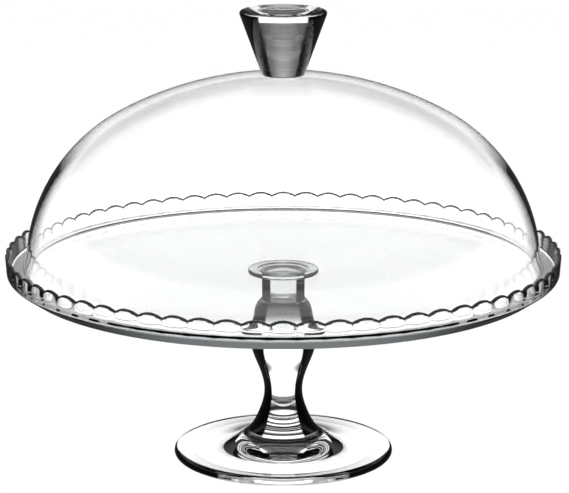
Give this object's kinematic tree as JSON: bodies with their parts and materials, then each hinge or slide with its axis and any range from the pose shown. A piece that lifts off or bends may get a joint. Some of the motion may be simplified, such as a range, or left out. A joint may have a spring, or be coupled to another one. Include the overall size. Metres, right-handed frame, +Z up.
{
  "type": "cake stand with dome",
  "caption": "Clear glass cake stand: round plate with a scalloped upright rim on a baluster pedestal with a thin round foot, and a lift-off glass dome with a solid cone knob.",
  "frame": {"origin": "centre of the foot's underside, at the height of the ring it stands on", "axes": "+Z up along the stand's own axis of revolution; the plate's lobes are placed so that one lobe crest lies on +X"},
  "size_m": [0.3218, 0.3218, 0.2634],
  "materials": {
    "pedestal_glass": "clear, fire-polished, pressed",
    "plate_glass": "clear, fire-polished, pressed, faint green edge",
    "dome_glass": "clear, fire-polished, thin",
    "knob_glass": "clear, fire-polished, solid",
    "clear_adhesive": "clear cured adhesive film"
  },
  "bodies": {
    "stand": {"pedestal": "pedestal_glass", "pedestal_bond": "clear_adhesive", "plate": "plate_glass"},
    "cover": {"dome": "dome_glass", "knob_bond": "clear_adhesive", "knob": "knob_glass"}
  },
  "joints": [
    {"name": "dome_lift", "type": "slide", "parent": "stand", "child": "cover", "axis": [0, 0, 1], "range_m": [0, 0.15]}
  ]
}
